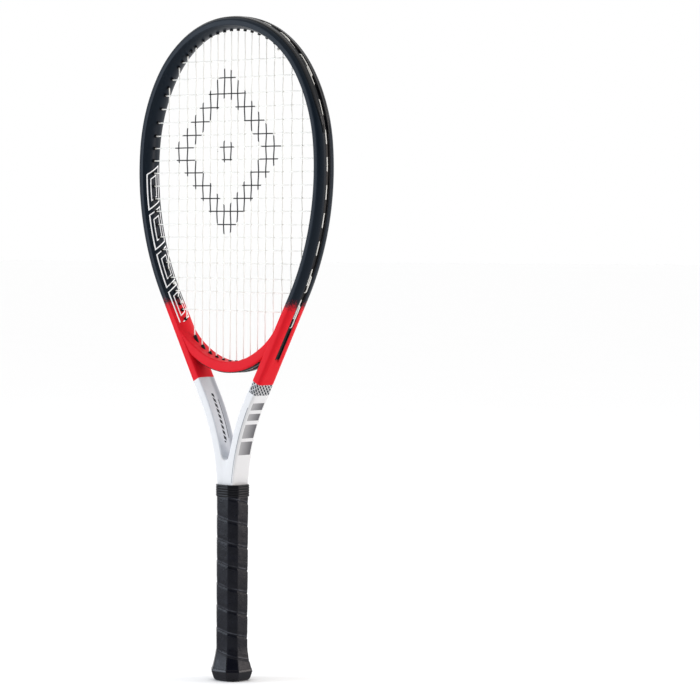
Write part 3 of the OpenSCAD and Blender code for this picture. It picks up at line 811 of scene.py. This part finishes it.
def make_collar(rubber):
    """A sleeve with rounded ridges and a lip that closes in on the shaft."""
    rings = []
    for z in np.arange(COLLAR_LOW, COLLAR_HIGH - LIP_R, COLLAR_STEP):
        place = (z - COLLAR_LOW) % RIDGE_PITCH
        off = RIDGE_BASE + RIDGE_RISE * math.sin(math.pi * place / RIDGE_PITCH) ** 0.6
        rings.append(oct_ring(z, GRIP_HW + off, GRIP_HT + off, COLLAR_CORNER))
    for a in range(0, 91, 15):
        off = 0.95 - LIP_R * (1 - cosine(a))
        z = COLLAR_HIGH - LIP_R + LIP_R * sine(a)
        rings.append(oct_ring(z, GRIP_HW + off, GRIP_HT + off, COLLAR_CORNER))
    rings += [oct_ring(COLLAR_HIGH, 13.3, 12.8, 2.6), oct_ring(COLLAR_HIGH - 0.3, *LIP_BORE)]
    rings += [oct_ring(LIP_Z, *LIP_BORE), oct_ring(LIP_Z, *COLLAR_BORE)]
    rings += [oct_ring(COLLAR_LOW, *COLLAR_BORE), rings[0]]
    verts, faces = loft(rings, closed_ends=False)
    mesh_object("rubber_collar", verts, faces, rubber, ["collar"], body="collar")


# ---- Node materials ----
COAT_ROUGHNESS = 0.06


class Value:
    """A socket or number that can be used in arithmetic."""

    def __init__(self, tree, socket):
        self.tree, self.socket = tree, socket

    def math(self, operation, *others):
        node = self.tree.nodes.new("ShaderNodeMath")
        node.operation = operation
        for i, v in enumerate((self,) + others):
            if isinstance(v, Value):
                self.tree.links.new(v.socket, node.inputs[i])
            else:
                node.inputs[i].default_value = v
        return Value(self.tree, node.outputs[0])

    def __add__(self, o):
        return self.math("ADD", o)

    def __sub__(self, o):
        return self.math("SUBTRACT", o)

    def __mul__(self, o):
        return self.math("MULTIPLY", o)

    def abs(self):
        return self.math("ABSOLUTE")

    def mod(self, period):
        return self.math("FLOORED_MODULO", period)

    def below(self, limit, soft=0.0):
        """1 where the value is below limit, easing to 0 over soft."""
        if not soft:
            return self.math("LESS_THAN", limit)
        node = self.tree.nodes.new("ShaderNodeMapRange")
        node.interpolation_type = "SMOOTHSTEP"
        self.tree.links.new(self.socket, node.inputs["Value"])
        node.inputs["From Min"].default_value = limit - soft
        node.inputs["From Max"].default_value = limit + soft
        node.inputs["To Min"].default_value = 1.0
        node.inputs["To Max"].default_value = 0.0
        return Value(self.tree, node.outputs["Result"])

    def above(self, limit, soft=0.0):
        return (self.below(limit, soft) * -1.0) + 1.0

    def between(self, low, high, soft=0.0):
        return self.above(low, soft) * self.below(high, soft)


class Material:
    """A Principled material with helpers for procedural detail; places are in millimetres."""

    def __init__(self, name, color, roughness, metallic=0.0, coat=0.0, specular=0.3):
        self.material = bpy.data.materials.new(name)
        self.material.use_nodes = True
        self.tree = self.material.node_tree
        self.shader = self.tree.nodes["Principled BSDF"]
        self.shader.inputs["Base Color"].default_value = (*color, 1.0)
        self.shader.inputs["Roughness"].default_value = roughness
        self.shader.inputs["Metallic"].default_value = metallic
        self.shader.inputs["Coat Weight"].default_value = coat
        self.shader.inputs["Coat Roughness"].default_value = COAT_ROUGHNESS
        self.shader.inputs["Specular IOR Level"].default_value = specular
        self.material.diffuse_color = (*color, 1.0)
        self.where = None

    def place(self):
        """(x, y, z) in millimetres, in the shared frame."""
        if self.where is None:
            coord = self.tree.nodes.new("ShaderNodeTexCoord")
            split = self.tree.nodes.new("ShaderNodeSeparateXYZ")
            self.tree.links.new(coord.outputs["Object"], split.inputs[0])
            self.coord = coord
            self.where = [Value(self.tree, split.outputs[i]) * (1 / MM) for i in range(3)]
        return self.where

    def trace(self, layer="trace"):
        """The pair that the layer holds, in millimetres."""
        uv = self.tree.nodes.new("ShaderNodeUVMap")
        uv.uv_map = layer
        split = self.tree.nodes.new("ShaderNodeSeparateXYZ")
        self.tree.links.new(uv.outputs[0], split.inputs[0])
        return [Value(self.tree, split.outputs[i]) * (1 / MM) for i in range(2)]

    def noise(self, scale, detail, stretch=(1, 1, 1)):
        self.place()
        mapping = self.tree.nodes.new("ShaderNodeMapping")
        mapping.inputs["Scale"].default_value = stretch
        node = self.tree.nodes.new("ShaderNodeTexNoise")
        node.inputs["Scale"].default_value = scale
        node.inputs["Detail"].default_value = detail
        self.tree.links.new(self.coord.outputs["Object"], mapping.inputs["Vector"])
        self.tree.links.new(mapping.outputs[0], node.inputs["Vector"])
        return Value(self.tree, node.outputs["Fac"])

    def grain(self, scale):
        self.place()
        node = self.tree.nodes.new("ShaderNodeTexVoronoi")
        node.inputs["Scale"].default_value = scale
        self.tree.links.new(self.coord.outputs["Object"], node.inputs["Vector"])
        return Value(self.tree, node.outputs["Distance"])

    def mix(self, factor, a, b):
        """A colour: a where factor is 0, b where it is 1; each is an (r, g, b) or a socket."""
        node = self.tree.nodes.new("ShaderNodeMix")
        node.data_type = "RGBA"
        self.tree.links.new(factor.socket, node.inputs["Factor"])
        for key, c in (("A", a), ("B", b)):
            socket = next(s for s in node.inputs if s.name == key and s.type == "RGBA")
            if isinstance(c, tuple):
                socket.default_value = (*c, 1.0)
            else:
                self.tree.links.new(c, socket)
        return next(s for s in node.outputs if s.type == "RGBA")

    def color(self, socket):
        self.tree.links.new(socket, self.shader.inputs["Base Color"])

    def rough(self, value):
        self.tree.links.new(value.socket, self.shader.inputs["Roughness"])

    def bump(self, value, depth, strength):
        node = self.tree.nodes.new("ShaderNodeBump")
        node.inputs["Distance"].default_value = depth * MM
        node.inputs["Strength"].default_value = strength
        self.tree.links.new(value.socket, node.inputs["Height"])
        self.tree.links.new(node.outputs[0], self.shader.inputs["Normal"])


BLACK = (0.0066, 0.0115, 0.0185)
RED = (0.66, 0.0080, 0.0175)
# The last of these is the grey of a painted shade band on the arms' inner faces
SILVER, SILVER_FLECK, SILVER_PAINTED_SHADE = (0.68, 0.70, 0.74), (0.56, 0.58, 0.61), (0.37, 0.39, 0.43)
WHITE, TRIM_WHITE = (0.71, 0.712, 0.72), (0.93, 0.94, 0.96)
# The last of these is the grey of a painted shade line along the right arm's front edge
INK, CHECK_INK, EDGE_SHADE_GREY = (0.045, 0.048, 0.055), (0.035, 0.04, 0.05), (0.30, 0.31, 0.33)
BAR_FRONT, BAR_REAR = (0.36, 0.36, 0.37), (0.13, 0.13, 0.14)
# The height where black fades to red, and how far up the arm the pearl ends
FADE_Z, FADE_SOFT = 388.0, 5.0
PEARL_EDGE, CHECK_LEN = 291.8, 12.5
# The arm's inner faces lie below this offset, and above this height
INNER_U, SADDLE_Z = -4.2, 228.7
# The outlines on the left inner face: where the row starts, and its cells
TRIM_Z = 532
TRIM_START = next(s for p, _, _, s in hairpin() if p[0] < 0 and p[1] < TRIM_Z)
TRIM_CELL, TRIM_COUNT, TRIM_SLANT = 44.0, 4, 0.6
# Heights of the plain bars on the right arm's outer face
BARS = [(281.0, 288.4), (270.0, 277.2), (251.5, 266.0), (234.0, 248.0)]


def box_outline(along, across, outside, inside):
    """1 between two boxes, each (half length, half width)."""
    box = along.below(outside[0]) * across.below(outside[1])
    return box - along.below(inside[0]) * across.below(inside[1])


def lacquer_material():
    """Blue-black hoop that fades to red, then pearl arms, with plain bars and outlines."""
    m = Material("lacquer", BLACK, 0.28, specular=0.08)
    x, y, z = m.place()
    run, across = m.trace()
    outward = m.trace("offset")[0]
    inner, outer = outward.below(INNER_U) * z.above(SADDLE_Z), outward.above(3.0)
    left, right = x.below(0), x.above(0)
    speckle = m.noise(900, 1.0) - 0.5
    blotch = m.noise(110, 2.0) - 0.5
    fade = (z + speckle * 16.0 + blotch * 14.0).below(FADE_Z, FADE_SOFT)
    base = m.mix(fade, BLACK, RED)
    # Long slanted outlines along the left inner face, each round a shorter one
    place = run + across * TRIM_SLANT - TRIM_START
    cell = (place.mod(TRIM_CELL) - TRIM_CELL / 2).abs()
    width = across.abs()
    ring = box_outline(cell, width, (19.7, 8.7), (18.3, 7.4))
    slot = box_outline(cell, width, (12.2, 4.4), (11.0, 3.3))
    trim = (ring + slot) * left * inner * place.between(0.0, TRIM_COUNT * TRIM_CELL)
    base = m.mix(trim, base, TRIM_WHITE)
    # How far up the arm: the red ends square to it
    up_arm = x.abs() * sine(ARM_TILT) + z * cosine(ARM_TILT)
    pearl = m.mix(m.noise(2600, 0.0), SILVER_FLECK, SILVER)
    pearl = m.mix(inner, WHITE, pearl)
    # A painted shade band on the inner faces, darker towards their back edge
    pearl = m.mix(inner * (across - 7.0).abs().below(3.0, 2.5), pearl, SILVER_PAINTED_SHADE)
    # Checked band under the red, on the right arm
    check = (across + outward + up_arm).mod(4.2).below(2.7)
    check = check - check * (up_arm - across - outward).mod(6.4).below(1.2) + 0.25
    band = right * up_arm.between(PEARL_EDGE - CHECK_LEN, PEARL_EDGE) * outward.above(-3.0)
    pearl = m.mix(check * band, pearl, CHECK_INK)
    # Bars below it, darker towards the rear
    bars = z.between(*BARS[0])
    for low, high in BARS[1:]:
        bars = bars + z.between(low, high)
    shade = m.mix(across * (1 / 14.0) + 0.5, BAR_FRONT, BAR_REAR)
    pearl = m.mix(bars * right * outer * across.between(-8.6, 8.4), pearl, shade)
    # A row of dashes and a thin rule on the left arm's inner face
    row = (across + 1.5).abs().below(1.6) * z.between(246, 296)
    dash = (z + across * 0.8).mod(5.5).below(3.8) * row
    rule = (across - 4.0).abs().below(0.4) * z.between(250, 290)
    pearl = m.mix((dash + rule) * left * inner, pearl, INK)
    # A painted shade line down the right arm's front, along the edge between its front and
    # outer faces
    line = (outward - 3.4).abs().below(0.45) * right * y.below(-8.0) * z.between(205, 284)
    pearl = m.mix(line, pearl, EDGE_SHADE_GREY)
    pearly = up_arm.below(PEARL_EDGE, 0.3) * z.below(BRIDGE_LOW - 12.0)
    m.color(m.mix(pearly, base, pearl))
    m.rough(m.noise(60, 2.0) * 0.10 + 0.27 + fade * 0.16)
    m.bump(m.noise(260, 2.0), 0.012, 0.5)
    return m.material


CORD_DARK, CORD_LIGHT = (0.81, 0.80, 0.75), (0.89, 0.885, 0.85)
STENCIL = (0.012, 0.012, 0.014)
# The stencilled diamond: its middle and half sizes, and the edges that cut it off
DIAMOND_X, DIAMOND_Z, DIAMOND_HW, DIAMOND_HH = -10.0, 547.0, 80.0, 90.0
STENCIL_RIGHT, STENCIL_LOW = 66.0, 460.5


def string_material():
    """Pale cord with a plain diamond stencilled on the bed."""
    m = Material("cord", (0.86, 0.85, 0.78), 0.35)
    x, y, z = m.place()
    diamond = ((x - DIAMOND_X) * (1 / DIAMOND_HW)).abs()
    diamond = diamond + ((z - DIAMOND_Z) * (1 / DIAMOND_HH)).abs()
    ring = diamond.between(0.66, 1.0) * x.below(STENCIL_RIGHT) * z.above(STENCIL_LOW)
    ink = ring + diamond.below(0.175)
    bed = y.abs().below(2.2)
    cord = m.mix(m.noise(700, 1.0), CORD_DARK, CORD_LIGHT)
    m.color(m.mix(ink * bed, cord, STENCIL))
    m.bump(m.noise(1500, 1.0), 0.02, 0.4)
    return m.material


LEATHER_DARK, LEATHER_LIGHT = (0.0008, 0.0010, 0.0026), (0.0055, 0.0064, 0.0125)
# The colour of a painted highlight along the strap's edge just above the seam
LEATHER_SEAM_HIGHLIGHT = (0.055, 0.058, 0.072)


def leather_material():
    """Blue-black leather with creases and pores, and a painted highlight, paler, along the
    strap's edge beside the seam.
    """
    m = Material("grip_leather", (0.008, 0.008, 0.010), 0.34, specular=0.15)
    run, height = m.trace()
    seam = (run * (1 / WRAP_ROUND) + height * (1 / SEAM_PITCH)).mod(1.0)
    # A painted highlight, paler, in patches along the strap's edge just above the seam
    seam_highlight = seam.between(0.045, 0.09, 0.02) * m.noise(110, 3.0).above(0.5, 0.2)
    skin = m.mix(m.noise(90, 4.0), LEATHER_DARK, LEATHER_LIGHT)
    m.color(m.mix(seam_highlight, skin, LEATHER_SEAM_HIGHLIGHT))
    m.rough(m.noise(160, 3.0) * 0.26 + 0.17)
    crease = m.noise(150, 4.0, (1, 1, 0.55)) * 7.0
    m.bump(m.grain(620) + m.noise(1500, 3.0) * 0.6 + crease, 0.09, 0.75)
    return m.material


def molded(name, color, roughness, scale, depth, metallic=0.0, coat=0.0):
    """A plain moulded or worked surface with fine mottling."""
    m = Material(name, color, roughness, metallic, coat, specular=0.5 if metallic else 0.16)
    lighter = tuple(min(1.0, c * 1.35 + 0.001) for c in color)
    m.color(m.mix(m.noise(scale * 0.4, 3.0), color, lighter))
    m.rough(m.noise(scale * 0.2, 2.0) * 0.12 + (roughness - 0.06))
    m.bump(m.noise(scale, 3.0), depth, 0.5)
    return m.material


def plain_node(node, material, smooth=False):
    """A CAD node that stays as it is, with its own finish."""
    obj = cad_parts[node]
    obj.data.materials.clear()
    obj.data.materials.append(material)
    if smooth:
        obj.data.shade_smooth()


# ---- Build ----
lacquer = lacquer_material()
nylon = molded("nylon", (0.005, 0.005, 0.006), 0.42, 900, 0.02)
guard_nylon = molded("guard_nylon", (0.004, 0.0045, 0.006), 0.24, 300, 0.02, coat=0.1)
make_frame(lacquer)
make_web(lacquer)
make_bridge(lacquer)
make_guard(guard_nylon)
make_strip(1, nylon)
make_strip(-1, nylon)
make_bridge_grommets(nylon)
cord = string_material()
make_strings(cord)
plain_node("string_knots", cord, smooth=True)
make_grip(leather_material())
make_cap(molded("cap_gloss", (0.0045, 0.0045, 0.0075), 0.22, 400, 0.015, coat=0.05))
make_collar(molded("collar_rubber", (0.0022, 0.0024, 0.0040), 0.34, 700, 0.03))
foam = molded("core_foam", (0.55, 0.50, 0.38), 0.85, 1200, 0.10)
plain_node("handle_front", foam)
plain_node("handle_rear", foam)
plain_node("handle_plugs", molded("plug_foam", (0.30, 0.28, 0.25), 0.9, 1500, 0.15))
steel = molded("staple_steel", (0.52, 0.52, 0.54), 0.32, 800, 0.01, metallic=1.0)
plain_node("cap_staples", steel)
plain_node("trap_door", molded("door_nylon", (0.010, 0.010, 0.012), 0.38, 600, 0.02))
plain_node("finishing_tape", molded("tape", (0.004, 0.004, 0.005), 0.22, 300, 0.01, coat=0.1))

# ---- Stage ----
FLOOR_HALF, FLOOR_DROP = 60.0, 0.0005
PAPER_DARK, PAPER_LIGHT = (0.955, 0.955, 0.955), (0.965, 0.965, 0.965)
corners = [(-FLOOR_HALF, -FLOOR_HALF), (FLOOR_HALF, -FLOOR_HALF)]
corners += [(-x, -y) for x, y in corners]
floor_mesh = bpy.data.meshes.new("floor")
floor_mesh.from_pydata([(x, y, 0) for x, y in corners], [], [(0, 1, 2, 3)])
floor = bpy.data.objects.new("floor", floor_mesh)
floor.location.z = -FLOOR_DROP
paper = Material("floor_paper", (0.96, 0.96, 0.96), 0.9, specular=0.0)
paper.color(paper.mix(paper.noise(3, 2.0), PAPER_DARK, PAPER_LIGHT))
floor_mesh.materials.append(paper.material)
bpy.context.scene.collection.objects.link(floor)

# The studio is white all round, and falls darker towards the side that the photograph was
# taken from. FALL holds the cosines of the angles from that side where it starts and ends.
CAMERA_SIDE = (0.694, -0.720, 0.0)
FALL, DARK_SIDE = (0.50, 0.90), 0.03
world = bpy.data.worlds.new("studio")
world.use_nodes = True
sky = world.node_tree
background = sky.nodes["Background"]
background.inputs[0].default_value = (1.0, 1.0, 1.0, 1.0)
ahead = sky.nodes.new("ShaderNodeTexCoord")
facing = sky.nodes.new("ShaderNodeVectorMath")
facing.operation = "DOT_PRODUCT"
facing.inputs[1].default_value = CAMERA_SIDE
falloff = sky.nodes.new("ShaderNodeMapRange")
falloff.interpolation_type = "SMOOTHSTEP"
falloff.inputs["From Min"].default_value, falloff.inputs["From Max"].default_value = FALL
falloff.inputs["To Min"].default_value = 1.0
falloff.inputs["To Max"].default_value = DARK_SIDE
sky.links.new(ahead.outputs["Generated"], facing.inputs[0])
sky.links.new(facing.outputs["Value"], falloff.inputs["Value"])
sky.links.new(falloff.outputs["Result"], background.inputs[1])
bpy.context.scene.world = world
bpy.context.scene.view_settings.view_transform = "Standard"

AIM = Vector((0.0, 0.0, 0.36))


def softbox(name, place, size, watts, tint):
    light = bpy.data.lights.new(name, "AREA")
    light.color = tint
    light.shape = "RECTANGLE"
    light.size, light.size_y = size
    light.energy = watts
    obj = bpy.data.objects.new(name, light)
    obj.location = place
    obj.rotation_euler = (AIM - Vector(place)).to_track_quat("-Z", "Y").to_euler()
    bpy.context.scene.collection.objects.link(obj)


softbox("key", (-1.9, -2.1, 1.0), (0.9, 1.9), 40, (0.78, 0.87, 1.0))
softbox("side", (2.0, 1.9, 0.8), (0.7, 1.8), 28, (1.0, 0.90, 0.86))

overhead = bpy.data.lights.new("overhead", "SUN")
overhead.energy = 0.38
overhead.angle = math.radians(100)
bpy.context.scene.collection.objects.link(bpy.data.objects.new("overhead", overhead))

# Camera fitted to the photograph's left copy
CAMERA_PLACE = Vector((2.08427, -2.16229, 0.46071))
YAW, PITCH, ROLL = math.radians(41.6442), math.radians(-2.2510), math.radians(0.3840)
camera_data = bpy.data.cameras.new("camera")
camera_data.lens = 149.384
camera_data.sensor_width = 36.0
camera_data.clip_end = 50.0
camera = bpy.data.objects.new("camera", camera_data)
heading = Matrix.Rotation(YAW, 4, "Z") @ Matrix.Rotation(math.pi / 2 + PITCH, 4, "X")
heading = heading @ Matrix.Rotation(ROLL, 4, "Z")
camera.matrix_world = Matrix.Translation(CAMERA_PLACE) @ heading
bpy.context.scene.collection.objects.link(camera)
bpy.context.scene.camera = camera

bpy.context.view_layer.update()
